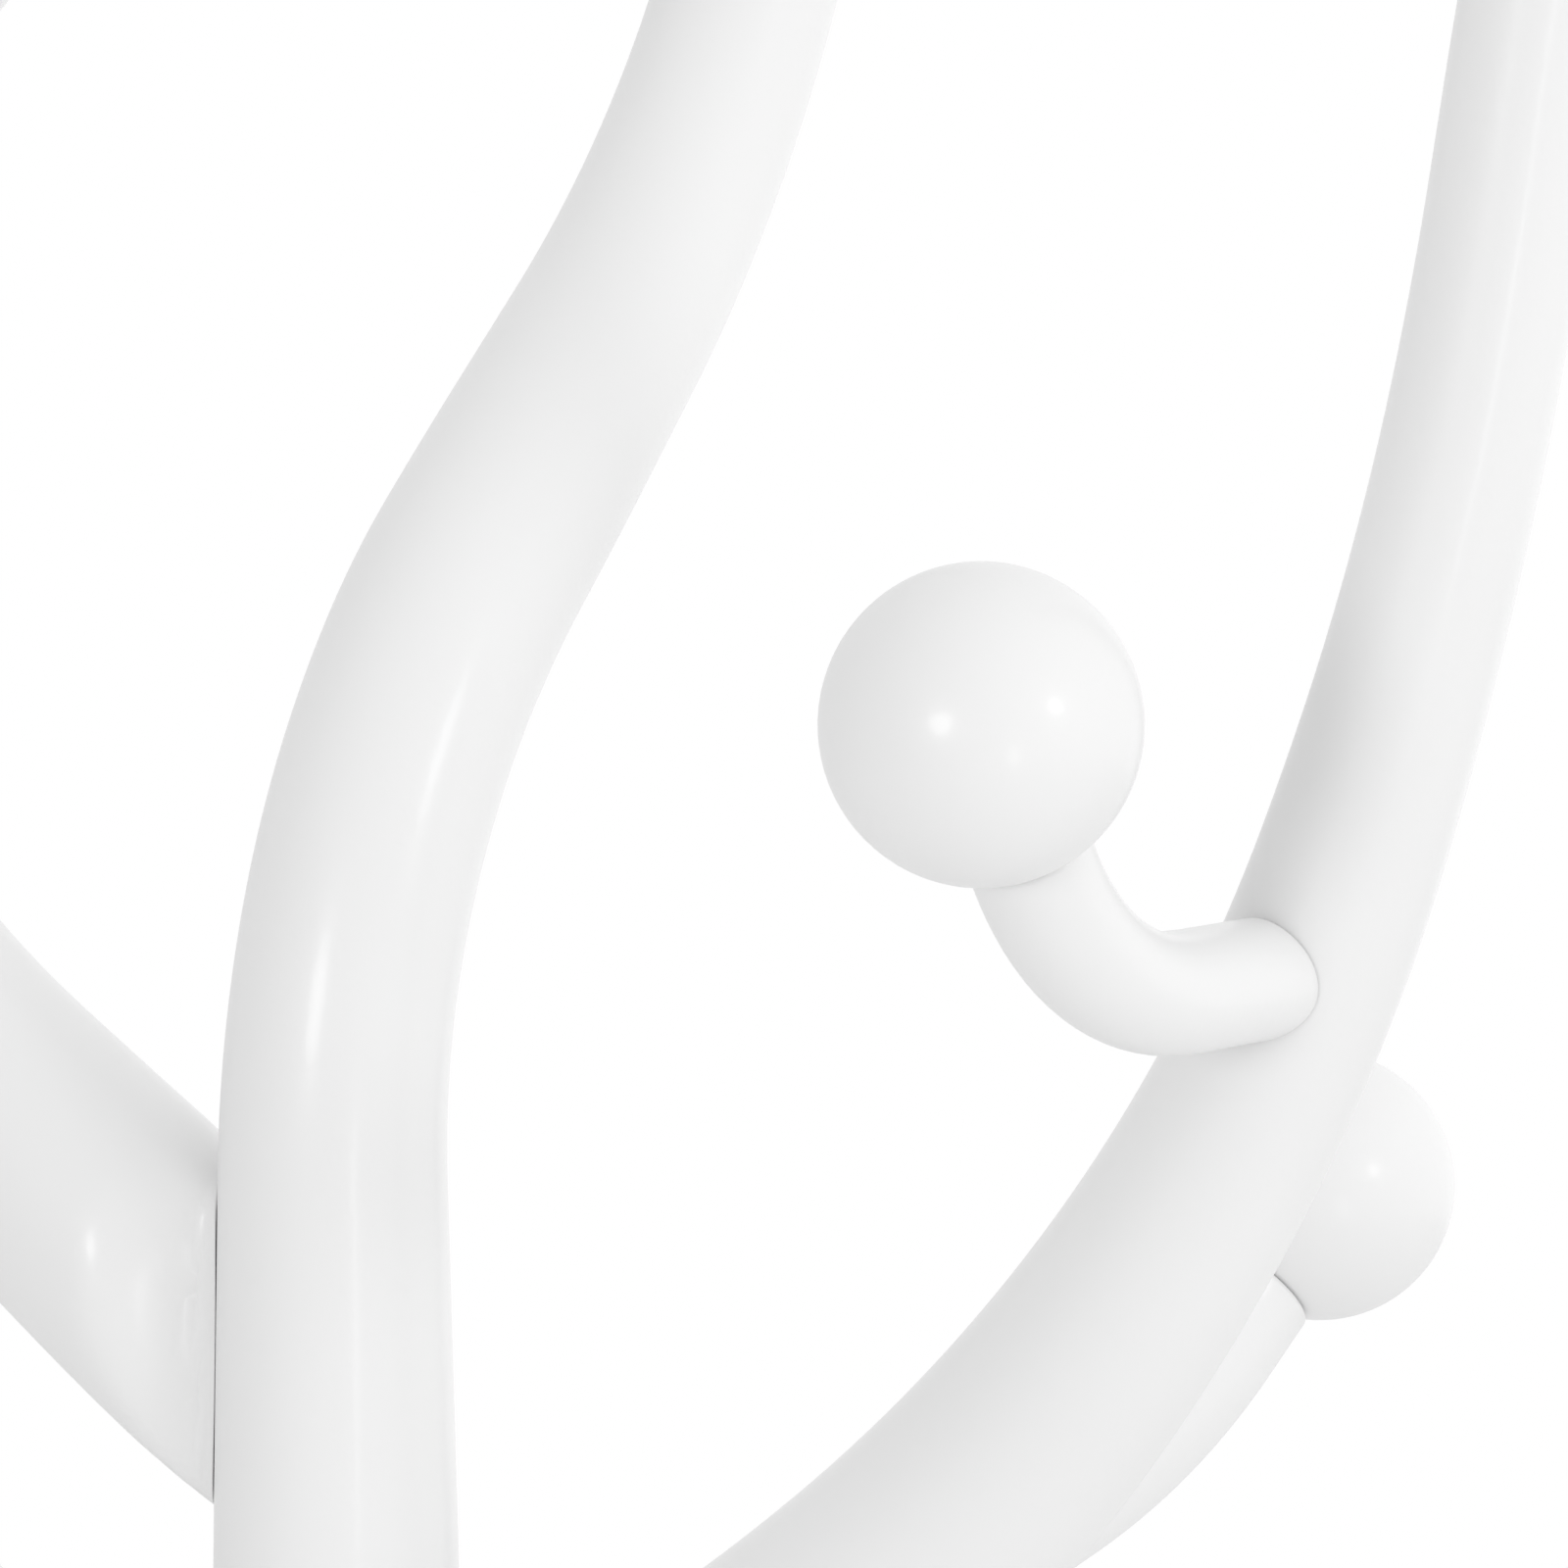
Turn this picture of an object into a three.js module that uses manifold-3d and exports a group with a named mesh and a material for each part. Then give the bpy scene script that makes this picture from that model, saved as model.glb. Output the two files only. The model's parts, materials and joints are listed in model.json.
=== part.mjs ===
// A standing coat rack shaped like a small tree, in millimetres, +Z up, origin on the floor under the trunk.
// Each wooden member is turned as a tapered round bar and then bent, so each one is described by its taper
// and by its bend line. A member's end is pared at both sides and sits on the trunk with a saddle, where a
// stud and a dowel hold it.
// Every free end carries a ball. Four arched legs stand on screw-in glides.
import * as THREE from 'three';
import { mergeVertices } from 'three/addons/utils/BufferGeometryUtils.js';
import Module from 'manifold-3d';

const wasm = await Module();
wasm.setup();

// ---------------------------------------------------------------- driving dimensions

const gap = 0.3; // between pieces that touch

const trunk = {
  foot: 236, // height of its lower end
  lowerLength: 764, // from there to the joint between its two lengths
  footDiameter: 54,
  jointDiameter: 50,
  upperTaper: [[180, 47.5], [318, 42.1], [400, 38.4], [500, 38.9], [585, 33.4], [790, 26]],
  bendAzimuth: 55,
  bends: [run(382), arc(140.7, -46.7), run(47.4), arc(213.9, 32.4), run(110)],
  hook: { name: 'top_hook', along: 640, azimuth: 120 },
};
const trunkJointHeight = trunk.foot + trunk.lowerLength;

const ball = { diameter: 50 };
const ballStud = { diameter: 6, length: 36 };
const ballTenon = { diameter: 10, length: 16 };

const hook = {
  diameter: 20,
  start: 4, // degrees above the horizontal
  reach: 37.5, // straight run from the middle of the member it stands on
  bendRadius: 57.5,
  turn: 54.3,
  rise: 28.6, // straight run from the bend to the ball's centre
  tenonDiameter: 12,
  tenonDepth: 12, // how far its tenon enters, measured from the member's surface
  tenonRoot: 6, // how far the ball's tenon runs back into the bar
};

const joint = {
  lipAngle: 34, // how far round the trunk each lip of a member's saddle reaches
  pareLength: 60, // along the member, from the trunk to where its pared sides run out
  studDiameter: 8,
  studInTrunk: 15,
  studInMember: 24,
  studAbove: 4, // from the centre of the saddle, towards the side that the member bends to
  dowelDiameter: 6,
  dowelInTrunk: 11,
  dowelInMember: 12,
  dowelAbove: 20,
};

const trunkJoint = { studDiameter: 12, studLength: 90, insertDiameter: 18, insertLength: 20 };
const cutReach = 400; // how far a cutting solid reaches past the piece that it cuts

const leg = {
  height: 300, // of the centre of its saddle
  taper: [[0, 46], [180, 38], [400, 31]],
  start: -14, // degrees above the horizontal
  bends: [arc(290, -52), arc(520, -15)],
  dowelAbove: 15,
};

const glide = {
  diameter: 28,
  height: 10,
  chamfer: 1.5,
  studDiameter: 8,
  studLength: 34,
  insertDiameter: 12,
  insertLength: 16,
  insertInset: 1,
};

const shortBranch = {
  start: 58.5,
  bends: [arc(251, -38.7), arc(103, 24.3), run(35.8)],
  taper: [[0, 41], [150, 32], [249, 24.1]],
};

// Branches: azimuth is counter-clockwise from +X seen from above, above is the height of the saddle's centre
// over the trunk's joint, start is in degrees above the horizontal, and the bend line ends at the centre of
// the ball. A taper lists [distance along the bend line, diameter], and a hook stands at a distance along it.
// A branch whose sides are pared over a length of its own gives its pareLength.
const branches = [
  {
    name: 'right_arm', azimuth: -21.6, above: 257.6, start: 31.9,
    bends: [arc(447, 12.9), arc(328, 27.1), arc(618, 10.3), run(20), arc(400, -11), run(20)],
    taper: [[0, 52.4], [100, 42.7], [200, 33.7], [300, 27.4], [400, 25], [484, 24]],
    hook: { name: 'right_hook', along: 234.3, azimuth: 257.1 },
  },
  {
    name: 'left_arm', azimuth: 150, above: 351.8, start: 34, pareLength: 20,
    bends: [arc(1091, 3.2), arc(170, 34), run(120), arc(400, -12), run(20)],
    taper: [[0, 50.1], [60, 46], [110, 41], [200, 33.5], [300, 27.4], [385, 24]],
    hook: { name: 'left_hook', along: 242, azimuth: 159 },
  },
  { name: 'rear_right_branch', azimuth: 35, above: 200, ...shortBranch },
  { name: 'rear_left_branch', azimuth: 125, above: 172, ...shortBranch },
  { name: 'front_branch', azimuth: -112, above: 120, ...shortBranch },
];

const sides = { trunk: 16, branch: 12, hook: 10, ball: 12, glide: 16, insert: 12, pin: 8 };
const ballBands = 8; // from pole to pole
const bendStep = 7; // degrees of bend between two sections of a member

// ---------------------------------------------------------------- materials

function finish(color, roughness, metalness) {
  return new THREE.MeshStandardMaterial({ color, roughness, metalness });
}

const lacquer = finish(0xf2f2f2, 0.22, 0);
const steel = finish(0xb9bcc0, 0.35, 1);
const brass = finish(0xc9a45c, 0.35, 1);
const beech = finish(0xc9a57a, 0.7, 0);
const nylon = finish(0xe4e4e2, 0.5, 0);

// ---------------------------------------------------------------- bend lines

function arc(radius, degrees) {
  const turn = THREE.MathUtils.degToRad(degrees);
  return { length: radius * Math.abs(turn), turn };
}

function run(length) {
  return { length, turn: 0 };
}

function lengthOf(bends) {
  return bends.reduce((sum, bend) => sum + bend.length, 0);
}

// A line in the XZ plane that starts at (x, z), heads `start` degrees above the horizontal and follows its
// bends. It runs straight on before its first bend and after its last one.
class BendLine {
  constructor(x, z, start, bends) {
    this.start = { x, z, rise: THREE.MathUtils.degToRad(start) };
    this.bends = bends;
    this.length = lengthOf(bends);
  }

  at(distance) {
    let { x, z, rise } = this.start;
    let left = distance;
    for (const bend of this.bends) {
      if (left <= 0) break;
      const part = Math.min(left, bend.length);
      ({ x, z, rise } = step(x, z, rise, part, (bend.turn * part) / bend.length));
      left -= part;
    }
    const beyond = distance < 0 ? distance : Math.max(0, distance - this.length);
    ({ x, z, rise } = step(x, z, rise, beyond, 0));
    const along = new THREE.Vector3(Math.cos(rise), 0, Math.sin(rise));
    const up = new THREE.Vector3(-Math.sin(rise), 0, Math.cos(rise));
    return { point: new THREE.Vector3(x, 0, z), along, up };
  }

  // Distances along the line at which a bent bar needs a section.
  sections() {
    const found = [0];
    let past = 0;
    for (const bend of this.bends) {
      const parts = Math.max(1, Math.ceil(Math.abs(THREE.MathUtils.radToDeg(bend.turn)) / bendStep));
      for (let i = 1; i <= parts; i++) found.push(past + (bend.length * i) / parts);
      past += bend.length;
    }
    return found;
  }
}

function step(x, z, rise, length, turn) {
  if (Math.abs(turn) < 1e-9) {
    return { x: x + length * Math.cos(rise), z: z + length * Math.sin(rise), rise };
  }
  const radius = length / turn;
  const end = rise + turn;
  return {
    x: x + radius * (Math.sin(end) - Math.sin(rise)),
    z: z + radius * (Math.cos(rise) - Math.cos(end)),
    rise: end,
  };
}

// ---------------------------------------------------------------- solids

function toSolid(geometry) {
  const bare = new THREE.BufferGeometry().setAttribute('position', geometry.getAttribute('position'));
  bare.setIndex(geometry.index);
  const merged = mergeVertices(bare, 1e-4);
  const corners = merged.index.array;
  const kept = [];
  for (let i = 0; i < corners.length; i += 3) {
    const [a, b, c] = corners.slice(i, i + 3);
    if (a !== b && b !== c && c !== a) kept.push(a, b, c);
  }
  const vertProperties = merged.getAttribute('position').array;
  return new wasm.Manifold(new wasm.Mesh({ numProp: 3, vertProperties, triVerts: new Uint32Array(kept) }));
}

function toGeometry(solid) {
  const { vertProperties, triVerts } = solid.getMesh();
  const geometry = new THREE.BufferGeometry();
  geometry.setAttribute('position', new THREE.BufferAttribute(vertProperties, 3));
  geometry.setIndex(new THREE.BufferAttribute(triVerts, 1));
  geometry.computeVertexNormals();
  return geometry;
}

// A round bar turned to a taper and bent along a line, from one distance along it to another. Where
// halfWidthAt gives less than the bar's radius, its two sides are pared flat.
function bentBar(line, from, to, taper, around, options = {}) {
  const { extra = 0, halfWidthAt = () => Infinity, pareLength = 0 } = options;
  const stations = [...taper.map(([distance]) => distance), pareLength];
  const inside = [...line.sections(), ...stations].filter(
    (distance) => distance > from + 1 && distance < to - 1,
  );
  const profile = [new THREE.Vector2(0, from)];
  for (const distance of [from, ...inside.sort((a, b) => a - b), to]) {
    profile.push(new THREE.Vector2(diameterAt(taper, distance) / 2 + extra, distance));
  }
  profile.push(new THREE.Vector2(0, to));
  const bar = new THREE.LatheGeometry(profile, around);
  const position = bar.getAttribute('position');
  for (let i = 0; i < position.count; i++) {
    const { point, up } = line.at(position.getY(i));
    const most = halfWidthAt(position.getY(i));
    point.addScaledVector(up, position.getX(i));
    position.setXYZ(i, point.x, THREE.MathUtils.clamp(position.getZ(i), -most, most), point.z);
  }
  return toSolid(bar);
}

// A straight round pin, or the tool that bores a hole for one.
function pin(diameter, from, to, around = sides.pin) {
  const axis = to.clone().sub(from);
  const geometry = new THREE.CylinderGeometry(diameter / 2, diameter / 2, axis.length(), around);
  const turn = new THREE.Quaternion().setFromUnitVectors(new THREE.Vector3(0, 1, 0), axis.normalize());
  geometry.applyQuaternion(turn);
  const middle = from.clone().add(to).multiplyScalar(0.5);
  geometry.translate(middle.x, middle.y, middle.z);
  return toSolid(geometry);
}

// The same pin with room round it and past both its ends.
function bore(diameter, from, to, around = sides.pin) {
  const axis = to.clone().sub(from).normalize();
  const start = from.clone().addScaledVector(axis, -gap);
  const end = to.clone().addScaledVector(axis, gap);
  return pin(diameter + 2 * gap, start, end, around);
}

function sphere(diameter, centre, pole) {
  const geometry = new THREE.SphereGeometry(diameter / 2, sides.ball, ballBands);
  geometry.applyQuaternion(new THREE.Quaternion().setFromUnitVectors(new THREE.Vector3(0, 1, 0), pole));
  geometry.translate(centre.x, centre.y, centre.z);
  return toSolid(geometry);
}

// A ring round the vertical axis through (x, 0, z), from z upwards.
function ring(outer, inner, x, z, height) {
  const corners = [[inner, 0], [outer, 0], [outer, height], [inner, height], [inner, 0]];
  const profile = corners.map(([diameter, level]) => new THREE.Vector2(diameter / 2, level));
  const geometry = new THREE.LatheGeometry(profile, sides.insert);
  geometry.rotateX(Math.PI / 2);
  geometry.translate(x, 0, z);
  return toSolid(geometry);
}

function box(size, centre) {
  return toSolid(new THREE.BoxGeometry(size.x, size.y, size.z).translate(centre.x, centre.y, centre.z));
}

function mesh(name, solid, material) {
  const made = new THREE.Mesh(toGeometry(solid), material);
  made.name = name;
  return made;
}

function turnedGroup(azimuth, position = new THREE.Vector3()) {
  const group = new THREE.Group();
  group.rotation.z = THREE.MathUtils.degToRad(azimuth);
  group.position.copy(position);
  group.updateMatrix();
  return group;
}

// A solid moved from a group's own frame into its parent's, or with `back` the other way.
function carried(solid, group, back = false) {
  const matrix = back ? group.matrix.clone().invert() : group.matrix;
  return solid.transform([...matrix.elements]);
}

// ---------------------------------------------------------------- tapers

// A taper is a list of [distance along the line, diameter], with an even run between two of them.
function diameterAt(taper, distance) {
  const last = taper.length - 1;
  if (distance <= taper[0][0]) return taper[0][1];
  if (distance >= taper[last][0]) return taper[last][1];
  const i = taper.findIndex(([where]) => where > distance);
  const [[from, thick], [to, thin]] = [taper[i - 1], taper[i]];
  return THREE.MathUtils.mapLinear(distance, from, to, thick, thin);
}

const trunkTaper = [
  [trunk.foot, trunk.footDiameter],
  [trunkJointHeight, trunk.jointDiameter],
  ...trunk.upperTaper.map(([above, diameter]) => [trunkJointHeight + above, diameter]),
];

// The trunk's taper seen from a bend line that starts at this height.
function trunkTaperFrom(height) {
  return trunkTaper.map(([distance, diameter]) => [distance - height, diameter]);
}

function trunkRadius(height) {
  return diameterAt(trunkTaper, height) / 2;
}

// ---------------------------------------------------------------- balls, hooks and joints

const ballRadius = ball.diameter / 2;

// A ball at the end of a bend line, the cup that it sits in and the stud that holds it.
function ballAt(line, distance) {
  const { point: centre, along } = line.at(distance);
  const half = ballStud.length / 2;
  const seat = centre.clone().addScaledVector(along, -ballRadius);
  const from = seat.clone().addScaledVector(along, -half);
  const to = seat.clone().addScaledVector(along, half);
  return {
    centre,
    along,
    cup: sphere(ball.diameter + 2 * gap, centre, along),
    stud: pin(ballStud.diameter, from, to),
    bore: bore(ballStud.diameter, from, to),
  };
}

// A hook is a bent bar with a tenon at each end. It is made in its own group, whose origin is on the member's
// bend line and whose +X points the way the hook sets out. Its member gets the hole for the tenon.
function addHook(group, member, line, taper, around, spec) {
  const at = line.at(spec.along);
  const hookGroup = turnedGroup(spec.azimuth, at.point);
  const bends = [run(hook.reach), arc(hook.bendRadius, hook.turn), run(hook.rise)];
  const hookLine = new BendLine(0, 0, hook.start, bends);
  const surface = diameterAt(taper, spec.along) / 2;
  const set = hookLine.at(0).along;
  const tenon = [
    set.clone().multiplyScalar(surface - hook.tenonDepth),
    set.clone().multiplyScalar(hook.reach),
  ];
  const thicker = bentBar(line, 0, line.length, taper, around, { extra: gap });

  const { point: centre, along: heading } = hookLine.at(hookLine.length);
  const cup = sphere(ball.diameter + 2 * gap, centre, heading);
  const ballSeat = centre.clone().addScaledVector(heading, -ballRadius);
  const ballTenonEnd = ballSeat.clone().addScaledVector(heading, ballTenon.length);
  const ballTenonStart = ballSeat.clone().addScaledVector(heading, -hook.tenonRoot);

  const bar = bentBar(hookLine, 0, hookLine.length, [[0, hook.diameter]], sides.hook)
    .subtract(carried(thicker, hookGroup, true))
    .subtract(cup)
    .add(pin(hook.tenonDiameter, ...tenon))
    .add(pin(ballTenon.diameter, ballTenonStart, ballTenonEnd));
  const tenonHole = bore(ballTenon.diameter, ballTenonStart, ballTenonEnd);
  const knob = sphere(ball.diameter, centre, heading).subtract(tenonHole);

  hookGroup.add(mesh(spec.name, bar, lacquer), mesh(`${spec.name}_ball`, knob, lacquer));
  group.add(hookGroup);
  return member.subtract(carried(bore(hook.tenonDiameter, ...tenon), hookGroup));
}

// The stud and the dowel of a flat joint, lying along +X across the trunk's surface at x = face.
function jointPins(face, height, side, dowelAbove) {
  const studHeight = height + side * joint.studAbove;
  const dowelHeight = height + side * dowelAbove;
  const studEnds = [
    new THREE.Vector3(face - joint.studInTrunk, 0, studHeight),
    new THREE.Vector3(face + joint.studInMember, 0, studHeight),
  ];
  const dowelEnds = [
    new THREE.Vector3(face - joint.dowelInTrunk, 0, dowelHeight),
    new THREE.Vector3(face + joint.dowelInMember, 0, dowelHeight),
  ];
  const bores = bore(joint.studDiameter, ...studEnds).add(bore(joint.dowelDiameter, ...dowelEnds));
  return {
    bores,
    stud: pin(joint.studDiameter, ...studEnds),
    dowel: pin(joint.dowelDiameter, ...dowelEnds),
  };
}

// A member that sits on the trunk: a bar from the trunk's axis outwards, pared at its sides, less the trunk.
function seatedBar(group, height, line, to, taper, pareLength = joint.pareLength) {
  const lip = trunkRadius(height) * Math.sin(THREE.MathUtils.degToRad(joint.lipAngle));
  const full = diameterAt(taper, pareLength) / 2;
  const halfWidthAt = (distance) => lip + (full - lip) * Math.max(0, distance / pareLength);
  const { x, rise } = line.start;
  return bentBar(line, -x / Math.cos(rise), to, taper, sides.branch, { halfWidthAt, pareLength })
    .subtract(carried(trunkRoom, group, true));
}

// ---------------------------------------------------------------- branches

const coatRack = new THREE.Group();
const trunkBores = []; // in the part's frame

const post = new BendLine(0, trunk.foot, 90, [run(trunk.lowerLength)]);
const postTaper = trunkTaperFrom(trunk.foot);
const upperGroup = turnedGroup(trunk.bendAzimuth);
const upperLine = new BendLine(0, trunkJointHeight, 90, trunk.bends);
const upperTaper = trunkTaperFrom(trunkJointHeight);

// The whole trunk with room round it, in the part's frame.
const trunkRoom = bentBar(post, 0, post.length, postTaper, sides.trunk, { extra: gap })
  .add(carried(bentBar(upperLine, 0, upperLine.length, upperTaper, sides.trunk, { extra: gap }), upperGroup));

function addBranch(spec) {
  const group = turnedGroup(spec.azimuth);
  const height = trunkJointHeight + spec.above;
  const face = trunkRadius(height) + gap;
  const line = new BendLine(face, height, spec.start, spec.bends);
  const knob = ballAt(line, line.length);
  const pins = jointPins(face, height, 1, joint.dowelAbove);

  let member = seatedBar(group, height, line, line.length, spec.taper, spec.pareLength)
    .subtract(knob.cup)
    .subtract(knob.bore)
    .subtract(pins.bores);
  if (spec.hook) member = addHook(group, member, line, spec.taper, sides.branch, spec.hook);
  group.add(
    mesh(spec.name, member, lacquer),
    mesh(`${spec.name}_stud`, pins.stud, steel),
    mesh(`${spec.name}_dowel`, pins.dowel, beech),
    mesh(`${spec.name}_ball`, sphere(ball.diameter, knob.centre, knob.along).subtract(knob.bore), lacquer),
    mesh(`${spec.name}_ball_stud`, knob.stud, steel),
  );
  trunkBores.push(carried(pins.bores, group));
  coatRack.add(group);
}

branches.forEach(addBranch);

// ---------------------------------------------------------------- legs and glides

const footLevel = glide.height + gap; // where the legs are cut off, above the floor

function addLeg(name, azimuth) {
  const group = turnedGroup(azimuth);
  const face = trunkRadius(leg.height) + gap;
  const line = new BendLine(face, leg.height, leg.start, leg.bends);
  const pins = jointPins(face, leg.height, -1, leg.dowelAbove);
  const toFloor = line.at(line.length).point.z - footLevel;
  const foot = line.at(line.length + toFloor).point;

  const insertTop = footLevel + glide.insertInset + glide.insertLength;
  const studTop = glide.height + glide.studLength;
  const centre = new THREE.Vector3(foot.x, 0, footLevel + glide.insertInset);
  const onFloor = centre.clone().setZ(0);
  const insertSpace = bore(glide.insertDiameter, onFloor, centre.clone().setZ(insertTop), sides.insert);
  const studSpace = bore(glide.studDiameter, onFloor, centre.clone().setZ(studTop));
  const floorSide = box(
    new THREE.Vector3(2 * cutReach, 2 * cutReach, cutReach),
    new THREE.Vector3(foot.x, 0, footLevel - cutReach / 2),
  );

  const member = seatedBar(group, leg.height, line, line.length + 2 * toFloor, leg.taper)
    .subtract(floorSide)
    .subtract(pins.bores)
    .subtract(insertSpace)
    .subtract(studSpace);

  const inner = glide.studDiameter + 2 * gap;
  const insert = ring(glide.insertDiameter, inner, foot.x, centre.z, glide.insertLength);

  group.add(
    mesh(name, member, lacquer),
    mesh(`${name}_stud`, pins.stud, steel),
    mesh(`${name}_dowel`, pins.dowel, beech),
    mesh(`${name}_glide_insert`, insert, brass),
    mesh(`${name}_glide`, glideSolid(foot.x), nylon),
  );
  trunkBores.push(carried(pins.bores, group));
  coatRack.add(group);
}

// A moulded pad on its screw, standing on the floor at (x, 0).
function glideSolid(x) {
  const pad = glide.diameter / 2;
  const edge = glide.chamfer;
  const top = glide.height;
  const corners = [[0, 0], [pad - edge, 0], [pad, edge], [pad, top - edge], [pad - edge, top], [0, top]];
  const profile = corners.map(([radius, level]) => new THREE.Vector2(radius, level));
  const disc = new THREE.LatheGeometry(profile, sides.glide);
  disc.rotateX(Math.PI / 2);
  disc.translate(x, 0, 0);
  const studEnds = [new THREE.Vector3(x, 0, top / 2), new THREE.Vector3(x, 0, top + glide.studLength)];
  return toSolid(disc).add(pin(glide.studDiameter, ...studEnds));
}

['leg_right', 'leg_rear', 'leg_left', 'leg_front'].forEach((name, i) => addLeg(name, i * 90));

// ---------------------------------------------------------------- trunk

function addTrunk() {
  const halfStud = trunkJoint.studLength / 2;
  const level = (height) => new THREE.Vector3(0, 0, height);
  const studEnds = [level(trunkJointHeight - halfStud), level(trunkJointHeight + halfStud)];
  const studSpace = bore(trunkJoint.studDiameter, ...studEnds, sides.insert);
  const inner = trunkJoint.studDiameter + 2 * gap;
  const { insertDiameter, insertLength } = trunkJoint;
  const insertEnds = [level(trunkJointHeight - insertLength), level(trunkJointHeight + insertLength)];
  const insertSpace = bore(insertDiameter, ...insertEnds, sides.insert);
  const allBores = wasm.Manifold.union(trunkBores).add(studSpace).add(insertSpace);

  const lower = bentBar(post, 0, post.length, postTaper, sides.trunk).subtract(allBores);

  const knob = ballAt(upperLine, upperLine.length);
  let upper = bentBar(upperLine, gap, upperLine.length, upperTaper, sides.trunk)
    .subtract(carried(allBores, upperGroup, true))
    .subtract(knob.cup)
    .subtract(knob.bore);
  upper = addHook(upperGroup, upper, upperLine, upperTaper, sides.trunk, trunk.hook);

  upperGroup.add(
    mesh('trunk_upper', upper, lacquer),
    mesh('top_ball', sphere(ball.diameter, knob.centre, knob.along).subtract(knob.bore), lacquer),
    mesh('top_ball_stud', knob.stud, steel),
  );
  const lowerInsert = ring(insertDiameter, inner, 0, trunkJointHeight - insertLength, insertLength);
  const upperInsert = ring(insertDiameter, inner, 0, trunkJointHeight + gap, insertLength - gap);
  coatRack.add(
    upperGroup,
    mesh('trunk_lower', lower, lacquer),
    mesh('trunk_joint_stud', pin(trunkJoint.studDiameter, ...studEnds, sides.insert), steel),
    mesh('trunk_joint_insert_lower', lowerInsert, brass),
    mesh('trunk_joint_insert_upper', upperInsert, brass),
  );
}

addTrunk();

export default coatRack;
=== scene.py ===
"""A white lacquered coat rack shaped like a small tree, in metres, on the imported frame.

Every wooden member is a tapered round bar that was bent in one upright plane. It is described here by the
same values as the part: a bend line, a taper and an azimuth. The pieces that show get a fine surface of their
own, and the studs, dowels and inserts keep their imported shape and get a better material.
"""
import json
import math

import bmesh
import bpy
import numpy as np
from mathutils import Matrix, Vector
from mathutils.bvhtree import BVHTree


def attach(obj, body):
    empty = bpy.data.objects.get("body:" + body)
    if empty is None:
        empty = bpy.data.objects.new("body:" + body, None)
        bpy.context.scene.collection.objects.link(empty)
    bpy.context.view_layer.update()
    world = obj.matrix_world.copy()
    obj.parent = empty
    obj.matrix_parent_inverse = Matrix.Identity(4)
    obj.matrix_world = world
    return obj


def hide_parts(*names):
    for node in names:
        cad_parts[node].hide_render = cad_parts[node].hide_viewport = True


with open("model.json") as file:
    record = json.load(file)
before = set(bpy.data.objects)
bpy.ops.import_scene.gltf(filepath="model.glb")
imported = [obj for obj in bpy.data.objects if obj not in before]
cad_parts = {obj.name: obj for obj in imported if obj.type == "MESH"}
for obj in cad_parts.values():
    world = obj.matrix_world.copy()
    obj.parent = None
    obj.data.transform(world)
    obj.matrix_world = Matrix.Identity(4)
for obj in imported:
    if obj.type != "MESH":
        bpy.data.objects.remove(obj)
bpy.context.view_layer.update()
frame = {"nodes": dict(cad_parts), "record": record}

MM = 0.001
ROUND = 72  # points round a member
TRUNK_ROUND = 96
ROW_STEP = 3.0  # mm between two sections of a member


# ---------------------------------------------------------------- design values, in millimetres and degrees

def arc(radius, degrees):
    turn = math.radians(degrees)
    return radius * abs(turn), turn


def run(length):
    return length, 0.0


GAP = 0.3
BALL_RADIUS = 25.0
BALL_SEAM = 0.45  # the open line between a ball and the bar that it sits on
SADDLE_SEAM = 0.06  # the line between the trunk and a member's saddle, at the saddle's sides
SADDLE_OPENING = 0.35  # how much wider it is at the saddle's top and bottom
SADDLE_RIM = 0.45  # rounding of a saddle's edge
LIP_ANGLE = 34.0  # how far round the trunk each lip of a saddle reaches
PARE_LENGTH = 60.0  # along a member, from the trunk to where its pared sides run out
PARE_CORNER = 2.4  # how crisp the corner between a pared side and the round is

TRUNK_FOOT = 236.0
TRUNK_SPLIT = 1000.0
TRUNK_AZIMUTH = 55.0
TRUNK_TAPER = [(236, 54), (1000, 50), (1180, 47.5), (1318, 42.1), (1400, 38.4), (1500, 38.9), (1585, 33.4),
               (1790, 26)]
TOP_BENDS = [run(382), arc(140.7, -46.7), run(47.4), arc(213.9, 32.4), run(110)]
TOP_HOOK = ("top_hook", 640, 120)

HOOK_SEAM = 0.3  # between a hook and the member it stands on, at its sides and below
HOOK_OPENING = 0.35  # how much wider that seam is on top
HOOK_RIM = 0.8
HOOK_PRESS = 0.085  # share of its radius by which the inside of its bend is pressed flat
HOOK_PRESS_SPREAD = 15.0
HOOK_DIAMETER = 20.0
HOOK_START = 4.0
HOOK_BENDS = [run(37.5), arc(57.5, 54.3), run(28.6)]

SHORT_BENDS = [arc(251, -38.7), arc(103, 24.3), run(35.8)]
SHORT_TAPER = [(0, 41), (150, 32), (249, 24.1)]

# name, azimuth, height of the saddle's centre, start, bends, taper, hook (name, along, azimuth), pare length
BRANCHES = [
    ("right_arm", -21.6, 1257.6, 31.9,
     [arc(447, 12.9), arc(328, 27.1), arc(618, 10.3), run(20), arc(400, -11), run(20)],
     [(0, 52.4), (100, 42.7), (200, 33.7), (300, 27.4), (400, 25), (484, 24)],
     ("right_hook", 234.3, 257.1)),
    ("left_arm", 150, 1351.8, 34,
     [arc(1091, 3.2), arc(170, 34), run(120), arc(400, -12), run(20)],
     [(0, 50.1), (60, 46), (110, 41), (200, 33.5), (300, 27.4), (385, 24)],
     ("left_hook", 242, 159), 20),
    ("rear_right_branch", 35, 1200, 58.5, SHORT_BENDS, SHORT_TAPER, None),
    ("rear_left_branch", 125, 1172, 58.5, SHORT_BENDS, SHORT_TAPER, None),
    ("front_branch", -112, 1120, 58.5, SHORT_BENDS, SHORT_TAPER, None),
]

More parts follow.
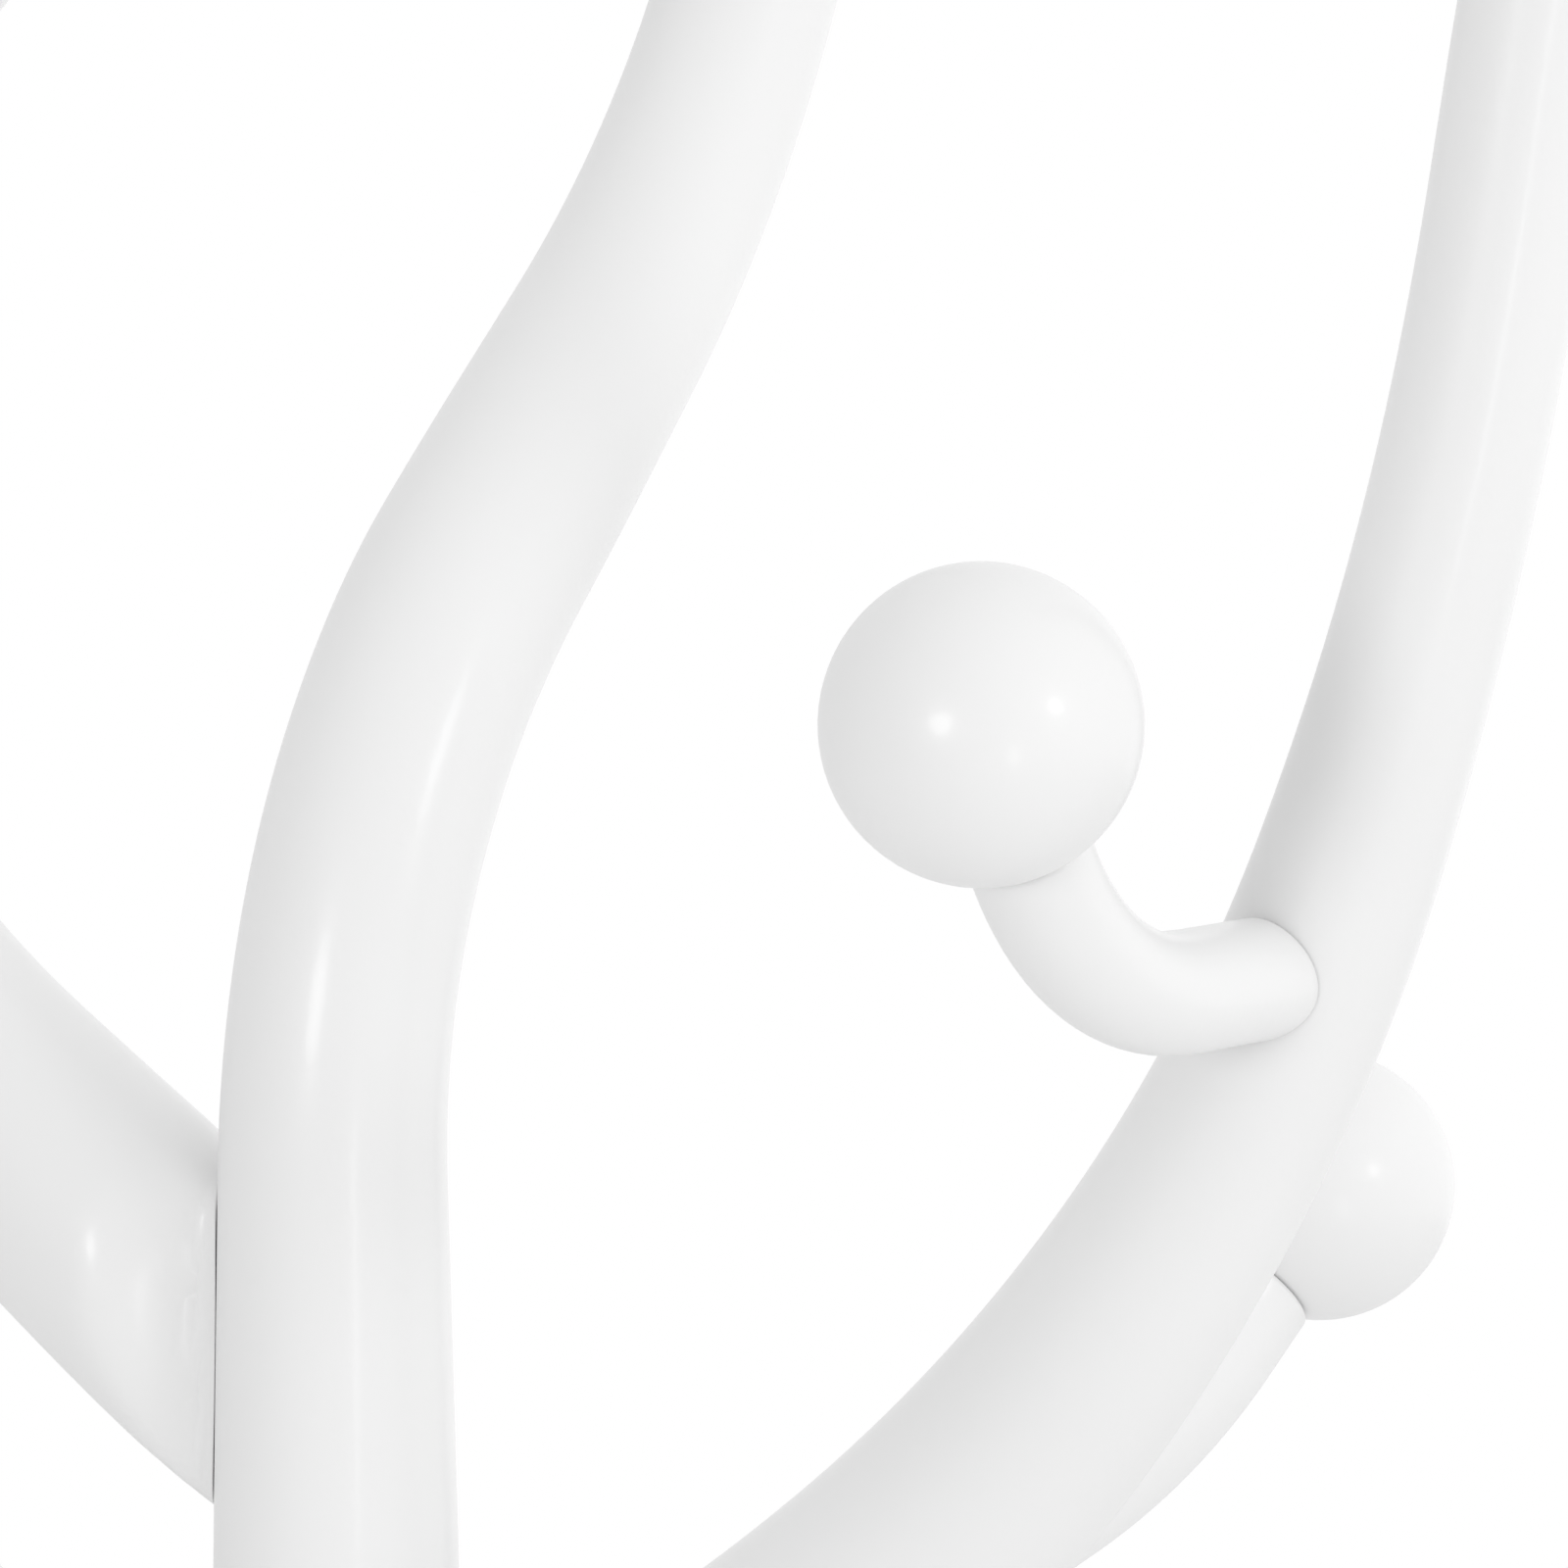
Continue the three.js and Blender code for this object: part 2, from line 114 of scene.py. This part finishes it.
LEGS = {"right": 0, "rear": 90, "left": 180, "front": 270}
LEG_HEIGHT = 300.0
LEG_START = -14.0
LEG_BENDS = [arc(290, -52), arc(520, -15)]
LEG_TAPER = [(0, 46), (180, 38), (400, 31)]

GLIDE_HEIGHT = 10.0
GLIDE_RADIUS = 14.0
GLIDE_STUD = 4.0
GLIDE_STUD_LENGTH = 34.0
GLIDE_INSERT = 6.0
GLIDE_INSERT_TOP = 27.3
THREAD_PITCH = 1.25
THREAD_DEPTH = 0.45


# ---------------------------------------------------------------- bend lines and tapers

class BendLine:
    """A line in an upright plane: it starts at (x, z), heads start degrees above the horizontal and bends."""

    def __init__(self, x, z, start, bends):
        before, after, fine = 90.0, 90.0, 0.25
        self.length = sum(length for length, _ in bends)
        self.s = np.arange(-before, self.length + after, fine)
        rise = np.full_like(self.s, math.radians(start))
        past = 0.0
        for length, turn in bends:
            rise += turn * np.clip((self.s - past) / length, 0, 1)
            past += length
        middle = (rise[1:] + rise[:-1]) / 2
        along_x = np.concatenate([[0], np.cumsum(np.cos(middle) * fine)])
        along_z = np.concatenate([[0], np.cumsum(np.sin(middle) * fine)])
        self.x = x + along_x - np.interp(0, self.s, along_x)
        self.z = z + along_z - np.interp(0, self.s, along_z)
        self.rise = rise

    def at(self, s):
        return np.interp(s, self.s, self.x), np.interp(s, self.s, self.z), np.interp(s, self.s, self.rise)

    def point(self, s):
        x, z, rise = self.at(s)
        return Vector((x, 0, z)), Vector((math.cos(rise), 0, math.sin(rise)))


def diameter(taper, s):
    """The taper's diameter at s, with its corners eased over about 40 mm."""
    where, size = zip(*taper)
    spread = (-20, -10, 0, 10, 20)
    return sum(np.interp(np.asarray(s) + shift, where, size) for shift in spread) / len(spread)


class Bar:
    """A round bar along a bend line, turned to a taper.

    pared(x) is half the width that its two sides are pared down to at a distance from the trunk's axis, and
    pressed(s) the share of its radius that is left on the inside of its bend.
    """

    def __init__(self, line, taper, around=ROUND, pared=None, pressed=None):
        self.line, self.taper, self.around = line, taper, around
        self.pared, self.pressed = pared, pressed

    def radius(self, s):
        return diameter(self.taper, s) / 2

    def ring(self, s, inset=0.0, share=1.0):
        """Points round the bar. s is one number, or one for each point."""
        angle = np.linspace(0, 2 * math.pi, self.around, endpoint=False)
        s = np.broadcast_to(np.asarray(s, float), angle.shape)
        x, z, rise = self.line.at(s)
        radius = self.radius(s) - inset
        up = radius * np.cos(angle)
        side = radius * np.sin(angle)
        if self.pressed:
            up = np.minimum(up, radius * self.pressed(s))
        if self.pared:
            width = np.minimum(self.pared(x - np.sin(rise) * up) - inset, radius)
            spill = 1 - (width / radius) ** PARE_CORNER  # none where the bar is narrower than the paring
            side = side / (1 + spill * np.abs(side / width) ** PARE_CORNER) ** (1 / PARE_CORNER)
        up, side = up * share, side * share
        return np.stack([x - np.sin(rise) * up, side, z + np.cos(rise) * up], axis=1)

    def rings(self, start, stop):
        """Plain rings between start and stop, both left out."""
        count = max(2, int((stop - start) / ROW_STEP))
        return [self.ring(s) for s in np.linspace(start, stop, count + 1)[1:-1]]


# ---------------------------------------------------------------- meshes

def skin(name, rows, turn=None, smooth=40):
    """A closed surface through rows of points, each row all the way round, with both ends closed."""
    around = len(rows[0])
    points = [tuple(point) for row in rows for point in row]
    faces = []
    for k in range(len(rows) - 1):
        for i in range(around):
            j = (i + 1) % around
            faces.append((k * around + i, k * around + j, (k + 1) * around + j, (k + 1) * around + i))
    for row_index in (0, len(rows) - 1):
        centre = len(points)
        points.append(tuple(np.mean(rows[row_index], axis=0)))
        base = row_index * around
        faces += [(centre, base + i, base + (i + 1) % around) for i in range(around)]
    mesh = bpy.data.meshes.new(name)
    mesh.from_pydata(points, [], faces)
    made = bmesh.new()
    made.from_mesh(mesh)
    bmesh.ops.recalc_face_normals(made, faces=made.faces)
    made.to_mesh(mesh)
    made.free()
    mesh.transform(Matrix.Scale(MM, 4) @ (turn or Matrix()))
    mesh.shade_smooth()
    mesh.set_sharp_from_angle(angle=math.radians(smooth))
    piece = bpy.data.objects.new(name, mesh)
    bpy.context.scene.collection.objects.link(piece)
    return piece


def turned(azimuth, place=(0, 0, 0)):
    return Matrix.Translation(place) @ Matrix.Rotation(math.radians(azimuth), 4, "Z")


def lathe(name, profile, frame_matrix, around=64, smooth=40):
    """A turned piece about the Z axis of frame_matrix, from (radius, height) pairs."""
    angle = np.linspace(0, 2 * math.pi, around, endpoint=False)
    rows = []
    for radius, height in profile:
        level = np.full_like(angle, height)
        rows.append(np.stack([radius * np.cos(angle), radius * np.sin(angle), level], 1))
    return skin(name, rows, frame_matrix, smooth)


def rim(radius, steps=5):
    """(distance from the end face, inset) pairs of a rounded rim, from the end face to the side."""
    for k in range(steps + 1):
        turn = math.pi / 2 * k / steps
        yield radius * (1 - math.cos(turn)), radius * (1 - math.sin(turn))


def inner_rings(row, count=3):
    """The rows that close a flat end, from near its centre out to its rim."""
    centre = row.mean(axis=0)
    return [centre + (row - centre) * (k / (count + 1)) ** 0.7 for k in range(1, count + 1)]


# ---------------------------------------------------------------- member ends

def trunk_radius(height):
    return float(diameter(TRUNK_TAPER, height)) / 2


def seated_bar(face, height, line, taper, pare_length=PARE_LENGTH):
    """A member on the trunk, its sides pared so that its saddle's lips reach LIP_ANGLE round."""
    lip = trunk_radius(height) * math.sin(math.radians(LIP_ANGLE))
    full = float(diameter(taper, pare_length)) / 2
    reach = pare_length * math.cos(line.rise[0])

    def pared(x):
        share = (x - face) / reach
        rounded = lip + (full - lip) * np.sin(np.clip(share, 0, 1) * math.pi / 2)
        return np.where(share < 1, rounded, np.inf)

    return Bar(line, taper, ROUND, pared)


def seat_at(bar, inset, share=1.0):
    """For each point round the bar, the distance at which it comes out of the trunk's surface."""
    tries = np.arange(-60.0, 90.0, 0.5)
    angle = np.linspace(0, 2 * math.pi, bar.around, endpoint=False)
    seam = SADDLE_SEAM + SADDLE_OPENING * np.cos(angle) ** 2
    outside = []
    for s in tries:
        points = bar.ring(s, inset, share)
        surface = diameter(TRUNK_TAPER, points[:, 2]) / 2
        outside.append(np.hypot(points[:, 0], points[:, 1]) - surface - seam)
    outside = np.array(outside)
    found = np.empty(bar.around)
    for i in range(bar.around):
        last = int(np.nonzero(outside[:, i] <= 0)[0][-1])
        low, high = outside[last, i], outside[last + 1, i]
        found[i] = tries[last] - 0.5 * low / (high - low)
    return found


def saddle_rows(bar):
    """The rows from a member's hollowed, rounded end to its first plain ring, and where that ring is."""
    rows = []
    for share in (0.1, 0.35, 0.6, 0.82):
        rows.append(bar.ring(seat_at(bar, SADDLE_RIM, share), SADDLE_RIM, share))
    for along, inset in rim(SADDLE_RIM):
        last = seat_at(bar, inset) + along
        rows.append(bar.ring(last, inset))
    start = float(last.max()) + 14
    for share in (0.02, 0.05, 0.09, 0.14, 0.2, 0.27, 0.35, 0.43, 0.52, 0.61, 0.7, 0.8, 0.9, 1.0):
        rows.append(bar.ring(last + (start - last) * share))
    return rows, start


def cup_rows(bar):
    """The rows of a bar's end that is hollowed for its ball, and where its plain part stops."""
    edge = 1.1
    length = bar.line.length
    radius = float(bar.radius(length - BALL_RADIUS))
    open_radius = BALL_RADIUS + BALL_SEAM

    def cup(inset):
        return length - math.sqrt(open_radius ** 2 - max(radius - inset, 0.0) ** 2)

    stop = cup(edge) - edge
    rows = [bar.ring(stop + edge - along, inset) for along, inset in reversed(list(rim(edge)))]
    rows += [bar.ring(cup(radius * part), radius * part) for part in (0.25, 0.5, 0.75, 0.95)]
    return rows, stop


# ---------------------------------------------------------------- materials

def material(name):
    made = bpy.data.materials.new(name)
    made.use_nodes = True
    return made, made.node_tree.nodes, made.node_tree.links, made.node_tree.nodes["Principled BSDF"]


def noise(nodes, links, coordinates, scale, detail=2.0):
    made = nodes.new("ShaderNodeTexNoise")
    made.inputs["Scale"].default_value = scale
    made.inputs["Detail"].default_value = detail
    links.new(coordinates, made.inputs["Vector"])
    return made.outputs["Fac"]


def ramp(nodes, links, value, stops):
    made = nodes.new("ShaderNodeValToRGB")
    made.color_ramp.elements[0].position = stops[0][0]
    made.color_ramp.elements[0].color = stops[0][1]
    made.color_ramp.elements[1].position = stops[-1][0]
    made.color_ramp.elements[1].color = stops[-1][1]
    for position, color in stops[1:-1]:
        made.color_ramp.elements.new(position).color = color
    links.new(value, made.inputs["Fac"])
    return made.outputs["Color"]


def grey(level):
    return (level, level, level, 1)


def bump(nodes, links, height, strength, distance, before=None):
    made = nodes.new("ShaderNodeBump")
    made.inputs["Strength"].default_value = strength
    made.inputs["Distance"].default_value = distance
    links.new(height, made.inputs["Height"])
    if before is not None:
        links.new(before, made.inputs["Normal"])
    return made.outputs["Normal"]


def lacquer():
    """White gloss lacquer: a thin clear film over white, with faint orange peel and slow waves in it."""
    made, nodes, links, shader = material("white_gloss_lacquer")
    place = nodes.new("ShaderNodeTexCoord").outputs["Object"]
    tone = ramp(nodes, links, noise(nodes, links, place, 9, 2), [(0.0, grey(0.8)), (1.0, grey(0.84))])
    links.new(tone, shader.inputs["Base Color"])
    rough = ramp(nodes, links, noise(nodes, links, place, 30, 2), [(0.0, grey(0.29)), (1.0, grey(0.37))])
    links.new(rough, shader.inputs["Roughness"])
    peel = bump(nodes, links, noise(nodes, links, place, 420, 1), 0.04, 0.0006)
    waves = bump(nodes, links, noise(nodes, links, place, 40, 0), 0.05, 0.002, peel)
    links.new(waves, shader.inputs["Normal"])
    links.new(waves, shader.inputs["Coat Normal"])
    shader.inputs["Specular IOR Level"].default_value = 0.3
    shader.inputs["Coat Weight"].default_value = 0.2
    shader.inputs["Coat Roughness"].default_value = 0.14
    return made


def metal(name, dark, light, roughness, scale):
    """Drawn or plated metal with fine scratches along the piece."""
    made, nodes, links, shader = material(name)
    place = nodes.new("ShaderNodeTexCoord").outputs["Object"]
    stretch = nodes.new("ShaderNodeMapping")
    stretch.inputs["Scale"].default_value = (1, 1, 0.08)
    links.new(place, stretch.inputs["Vector"])
    grain = noise(nodes, links, stretch.outputs["Vector"], scale, 6)
    links.new(ramp(nodes, links, grain, [(0.25, dark), (0.75, light)]), shader.inputs["Base Color"])
    links.new(ramp(nodes, links, grain, [(0.2, grey(roughness - 0.03)), (0.8, grey(roughness + 0.1))]),
              shader.inputs["Roughness"])
    links.new(bump(nodes, links, grain, 0.15, 0.0002), shader.inputs["Normal"])
    shader.inputs["Metallic"].default_value = 1.0
    return made


def bare_beech():
    """Unfinished beech: a pinkish tan with short darker flecks along the grain."""
    made, nodes, links, shader = material("bare_beech")
    place = nodes.new("ShaderNodeTexCoord").outputs["Object"]
    stretch = nodes.new("ShaderNodeMapping")
    stretch.inputs["Scale"].default_value = (0.15, 1, 1)
    links.new(place, stretch.inputs["Vector"])
    fleck = noise(nodes, links, stretch.outputs["Vector"], 900, 5)
    tone = ramp(nodes, links, fleck, [(0.3, (0.42, 0.27, 0.15, 1)), (0.5, (0.62, 0.44, 0.27, 1)),
                                      (0.8, (0.68, 0.5, 0.33, 1))])
    links.new(tone, shader.inputs["Base Color"])
    links.new(bump(nodes, links, fleck, 0.2, 0.0003), shader.inputs["Normal"])
    shader.inputs["Roughness"].default_value = 0.7
    return made


def moulded_nylon():
    """Off-white moulded nylon with a fine satin texture and a tone that varies at random."""
    made, nodes, links, shader = material("moulded_nylon")
    place = nodes.new("ShaderNodeTexCoord").outputs["Object"]
    grain = noise(nodes, links, place, 2200, 2)
    tone = ramp(nodes, links, noise(nodes, links, place, 90, 4),
                [(0.3, (0.62, 0.61, 0.58, 1)), (0.7, (0.74, 0.73, 0.71, 1))])
    links.new(tone, shader.inputs["Base Color"])
    links.new(ramp(nodes, links, grain, [(0.3, grey(0.42)), (0.7, grey(0.56))]), shader.inputs["Roughness"])
    links.new(bump(nodes, links, grain, 0.12, 0.0002), shader.inputs["Normal"])
    shader.inputs["Subsurface Weight"].default_value = 0.08
    shader.inputs["Subsurface Scale"].default_value = 0.004
    return made


LACQUER = lacquer()
STEEL = metal("zinc_plated_steel", (0.52, 0.53, 0.55, 1), (0.72, 0.73, 0.75, 1), 0.32, 1500)
BRASS = metal("plain_brass", (0.56, 0.40, 0.16, 1), (0.76, 0.58, 0.28, 1), 0.3, 1500)
BEECH = bare_beech()
NYLON = moulded_nylon()


# ---------------------------------------------------------------- wooden pieces

def add(piece, node, look, body="stand"):
    piece.data.materials.append(look)
    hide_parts(node)
    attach(piece, body)


def wooden(piece, node):
    add(piece, node, LACQUER)


def make_ball(node, centre, heading, place):
    """A turned ball, with a small flat where its bar meets it."""
    profile = []
    steps = 48
    for k in range(1, steps):
        turn = math.pi * k / steps
        profile.append((BALL_RADIUS * math.sin(turn), -BALL_RADIUS * math.cos(turn)))
    lie = Vector((0, 0, 1)).rotation_difference(heading).to_matrix().to_4x4()
    wooden(lathe("fine_" + node, profile, place @ Matrix.Translation(centre) @ lie, 96, 60), node)


def pressed_hook(s):
    """The inside of the bend is pressed a little flat."""
    middle = HOOK_BENDS[0][0] + HOOK_BENDS[1][0] * 0.42
    return 1 - HOOK_PRESS * np.exp(-((s - middle) / HOOK_PRESS_SPREAD) ** 2)


def make_hook(spec, member, line, place):
    """A bent bar that is fitted to the surface of the member it stands on, with a ball on its other end."""
    node, along, azimuth = spec
    foot, _ = line.point(along)
    hook_place = place @ turned(azimuth, foot)
    hook_line = BendLine(0, 0, HOOK_START, HOOK_BENDS)
    bar = Bar(hook_line, [(0, HOOK_DIAMETER)], ROUND, None, pressed_hook)
    reach = HOOK_BENDS[0][0]
    solid = bmesh.new()
    solid.from_mesh(member.data)
    tree = BVHTree.FromBMesh(solid)
    solid.free()
    _, heading = hook_line.point(0)
    heading = (hook_place.to_3x3() @ heading).normalized()
    angle = np.linspace(0, 2 * math.pi, ROUND, endpoint=False)
    seam = HOOK_SEAM + HOOK_OPENING * np.clip(np.cos(angle), 0, 1) ** 2

    def fitted(inset):
        """The distances at which the bar's surface stops, short of the member by the seam."""
        found = np.empty(ROUND)
        for i, point in enumerate(bar.ring(reach, inset)):
            hit, _, _, distance = tree.ray_cast((hook_place @ Vector(point)) * MM, -heading)
            found[i] = reach - (distance / MM if hit else reach)
        return found + seam

    rows = []
    for along, inset in rim(HOOK_RIM, 4):
        last = fitted(inset) + along
        rows.append(bar.ring(last, inset))
    start = float(last.max()) + 4
    for share in (0.2, 0.45, 0.7, 1.0):
        rows.append(bar.ring(last + (start - last) * share))
    cup, stop = cup_rows(bar)
    rows = inner_rings(rows[0]) + rows + bar.rings(start, stop) + cup
    wooden(skin("fine_" + node, rows, hook_place), node)
    centre, heading = hook_line.point(hook_line.length)
    make_ball(node + "_ball", centre, heading, hook_place)


def make_branch(name, azimuth, height, start, bends, taper, hook, pare_length=PARE_LENGTH):
    face = trunk_radius(height) + GAP
    line = BendLine(face, height, start, bends)
    place = turned(azimuth)
    bar = seated_bar(face, height, line, taper, pare_length)
    saddle, plain_from = saddle_rows(bar)
    cup, plain_to = cup_rows(bar)
    piece = skin("fine_" + name, saddle + bar.rings(plain_from, plain_to) + cup, place)
    wooden(piece, name)
    centre, heading = line.point(line.length)
    make_ball(name + "_ball", centre, heading, place)
    if hook:
        make_hook(hook, piece, line, place)


def make_trunk():
    edge = 1.2
    foot_edge = 6.0
    post = BendLine(0, TRUNK_FOOT, 90, [run(TRUNK_SPLIT - TRUNK_FOOT)])
    bar = Bar(post, [(where - TRUNK_FOOT, size) for where, size in TRUNK_TAPER], TRUNK_ROUND)
    foot = [bar.ring(along, inset) for along, inset in rim(foot_edge, 8)]
    top = [bar.ring(post.length - along, inset) for along, inset in reversed(list(rim(edge, 4)))]
    side = bar.rings(foot_edge, post.length - edge)
    rows = inner_rings(foot[0]) + foot + side + top + inner_rings(top[-1])[::-1]
    wooden(skin("fine_trunk_lower", rows), "trunk_lower")

    line = BendLine(0, TRUNK_SPLIT, 90, TOP_BENDS)
    bar = Bar(line, [(where - TRUNK_SPLIT, size) for where, size in TRUNK_TAPER], TRUNK_ROUND)
    place = turned(TRUNK_AZIMUTH)
    bottom = [bar.ring(GAP + along, inset) for along, inset in rim(edge, 4)]
    cup, stop = cup_rows(bar)
    rows = inner_rings(bottom[0]) + bottom + bar.rings(GAP + edge, stop) + cup
    piece = skin("fine_trunk_upper", rows, place)
    wooden(piece, "trunk_upper")
    centre, heading = line.point(line.length)
    make_ball("top_ball", centre, heading, place)
    make_hook(TOP_HOOK, piece, line, place)


# ---------------------------------------------------------------- legs and glides

FOOT_LEVEL = GLIDE_HEIGHT + GAP


def make_leg(side, azimuth):
    """An arched leg, cut flat over its glide, with the stepped bore for the insert and the screw."""
    node = "leg_" + side
    face = trunk_radius(LEG_HEIGHT) + GAP
    line = BendLine(face, LEG_HEIGHT, LEG_START, LEG_BENDS)
    place = turned(azimuth)
    bar = seated_bar(face, LEG_HEIGHT, line, LEG_TAPER)
    saddle, plain_from = saddle_rows(bar)
    end, _ = line.point(line.length)
    past = end.z - FOOT_LEVEL
    stop = line.length + past - 12
    foot, _ = line.point(line.length + past)

    def at_level(level, inset):
        stations = np.arange(line.length - 20, line.length + past + 25, 0.25)
        rows = np.array([bar.ring(s, inset) for s in stations])
        found = []
        for column in rows.transpose(1, 0, 2):
            column = column[np.argsort(column[:, 2])]
            found.append([np.interp(level, column[:, 2], column[:, axis]) for axis in range(3)])
        return np.array(found)

    rows = saddle + bar.rings(plain_from, stop) + [bar.ring(stop)]
    rows += [at_level(FOOT_LEVEL + along, inset) for along, inset in reversed(list(rim(1.5, 4)))]
    outward = rows[-1] - np.array([foot.x, 0, FOOT_LEVEL])
    outward /= np.linalg.norm(outward, axis=1)[:, None]
    stud_top = GLIDE_HEIGHT + GLIDE_STUD_LENGTH + GAP
    wall = GLIDE_INSERT + GAP
    bore = GLIDE_STUD + GAP
    for radius, level in ((wall, FOOT_LEVEL), (wall, GLIDE_INSERT_TOP + GAP), (bore, GLIDE_INSERT_TOP + GAP),
                          (bore, stud_top), (bore * 0.3, stud_top)):
        rows.append(np.array([foot.x, 0, level]) + outward * radius)
    wooden(skin("fine_" + node, rows, place), node)
    make_glide(node + "_glide", foot.x, place, "glide_" + side)


def make_glide(node, x, place, body):
    """A moulded pad with a raised collar, on a screw with its thread."""
    profile = [(2, 0.25), (GLIDE_RADIUS - 3.2, 0.25), (GLIDE_RADIUS - 2.4, 0)]
    for k in range(7):
        turn = math.pi / 2 * k / 6
        profile.append((GLIDE_RADIUS - 2 + 2 * math.sin(turn), 2 - 2 * math.cos(turn)))
    for k in range(7):
        turn = math.pi / 2 * k / 6
        profile.append((GLIDE_RADIUS - 2.6 + 2.6 * math.cos(turn), 6.6 + 2.6 * math.sin(turn)))
    profile += [(9.4, 9.2), (9.1, 9.6), (8.9, GLIDE_HEIGHT - 0.1), (8.4, GLIDE_HEIGHT), (4.4, GLIDE_HEIGHT)]
    spot = place @ Matrix.Translation((x, 0, 0))
    pad = lathe("fine_" + node, profile, spot, 64, 35)
    add(pad, node, NYLON, body)
    root = GLIDE_STUD - THREAD_DEPTH
    screw_profile = [(1.5, GLIDE_HEIGHT - 2), (root, GLIDE_HEIGHT - 2), (root, GLIDE_HEIGHT + 0.2)]
    top = GLIDE_HEIGHT + GLIDE_STUD_LENGTH
    level = GLIDE_HEIGHT + 0.2
    while level < top - 2 * THREAD_PITCH:
        screw_profile += [(root, level + 0.15), (GLIDE_STUD, level + 0.55), (GLIDE_STUD, level + 0.7),
                          (root, level + 1.1)]
        level += THREAD_PITCH
    screw_profile += [(root, top - 1.2), (root - 1, top), (1, top)]
    screw = lathe("fine_" + node + "_screw", screw_profile, spot, 40, 25)
    screw.data.materials.append(STEEL)
    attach(screw, body)


# ---------------------------------------------------------------- the object

make_trunk()
for branch in BRANCHES:
    make_branch(*branch)
for leg_side, leg_azimuth in LEGS.items():
    make_leg(leg_side, leg_azimuth)

SLOT_LOOKS = {"steel": STEEL, "brass": BRASS, "raw_wood": BEECH}
for entry in frame["record"]["subparts"]:
    look = SLOT_LOOKS.get(entry["material_slot"])
    if look:
        carried = frame["nodes"][entry["node"]]
        carried.data.materials.clear()
        carried.data.materials.append(look)


# ---------------------------------------------------------------- floor, light and camera

def make_floor():
    radius = 4.2
    mesh = bpy.data.meshes.new("floor")
    made = bmesh.new()
    bmesh.ops.create_circle(made, cap_ends=True, radius=radius, segments=96)
    made.to_mesh(mesh)
    made.free()
    floor = bpy.data.objects.new("floor", mesh)
    bpy.context.scene.collection.objects.link(floor)
    look, nodes, links, shader = material("pale_floor")
    place = nodes.new("ShaderNodeTexCoord").outputs["Object"]
    tone = ramp(nodes, links, noise(nodes, links, place, 3, 3), [(0.3, grey(0.86)), (0.7, grey(0.89))])
    links.new(tone, shader.inputs["Base Color"])
    shader.inputs["Roughness"].default_value = 0.7
    mesh.materials.append(look)


SURROUND_LEVEL = 0.928


def make_world():
    """A white surround that is brighter from the right, with plain white behind the object."""
    world = bpy.data.worlds.new("studio")
    bpy.context.scene.world = world
    world.use_nodes = True
    nodes, links = world.node_tree.nodes, world.node_tree.links
    surround = nodes["Background"]
    direction = nodes.new("ShaderNodeTexCoord").outputs["Generated"]
    split = nodes.new("ShaderNodeVectorMath")
    split.operation = "DOT_PRODUCT"
    split.inputs[1].default_value = (0.288, 0.076, 0.02)
    links.new(direction, split.inputs[0])
    shade = nodes.new("ShaderNodeMapRange")
    shade.inputs["From Min"].default_value = -1
    shade.inputs["From Max"].default_value = 1
    shade.inputs["To Min"].default_value = SURROUND_LEVEL - 1
    shade.inputs["To Max"].default_value = SURROUND_LEVEL + 1
    links.new(split.outputs["Value"], shade.inputs["Value"])
    links.new(shade.outputs["Result"], surround.inputs["Strength"])
    backdrop = nodes.new("ShaderNodeBackground")
    backdrop.inputs["Strength"].default_value = 1.0
    backdrop.inputs["Color"].default_value = (1, 1, 1, 1)
    surround.inputs["Color"].default_value = (1, 1, 1, 1)
    choose = nodes.new("ShaderNodeMixShader")
    links.new(nodes.new("ShaderNodeLightPath").outputs["Is Camera Ray"], choose.inputs["Fac"])
    links.new(surround.outputs["Background"], choose.inputs[1])
    links.new(backdrop.outputs["Background"], choose.inputs[2])
    links.new(choose.outputs["Shader"], nodes["World Output"].inputs["Surface"])


CAMERA_TARGET = Vector((0.0771, 0, 1.45))
CAMERA_PITCH = 10.0
CAMERA_DISTANCE = 1.5
LIGHT_TARGET = Vector((0.107, -0.145, 1.485))  # the right hook's ball
LIGHT_DISTANCE = 1.7


def make_camera():
    data = bpy.data.cameras.new("camera")
    data.sensor_width = 36
    data.lens = 203.2
    data.clip_end = 100
    camera = bpy.data.objects.new("camera", data)
    pitch = math.radians(CAMERA_PITCH)
    camera.location = CAMERA_TARGET - CAMERA_DISTANCE * Vector((0, math.cos(pitch), -math.sin(pitch)))
    camera.rotation_euler = (math.pi / 2 - pitch, 0, 0)
    bpy.context.scene.collection.objects.link(camera)
    bpy.context.scene.camera = camera
    return camera


def make_lights(camera):
    """Three lights on the camera's side, given as (right, up, towards the camera) from LIGHT_TARGET."""
    turn = camera.rotation_euler.to_matrix()
    for name, way, size, power in (("left", (-0.484, 0.0, 0.875), (0.45, 0.45), 4.6),
                                   ("right", (0.784, 0.196, 0.588), (0.34, 0.34), 2.1),
                                   ("low_right", (0.367, -0.38, 0.850), (0.2, 0.42), 1.0)):
        data = bpy.data.lights.new(name, "AREA")
        data.shape = "ELLIPSE"
        data.size, data.size_y = size
        data.energy = power
        light = bpy.data.objects.new(name, data)
        way = (turn @ Vector(way)).normalized()
        light.location = LIGHT_TARGET + LIGHT_DISTANCE * way
        light.rotation_euler = way.to_track_quat("Z", "Y").to_euler()
        light.visible_camera = False
        bpy.context.scene.collection.objects.link(light)


make_floor()
make_world()
make_lights(make_camera())
bpy.context.scene.view_settings.view_transform = "Standard"
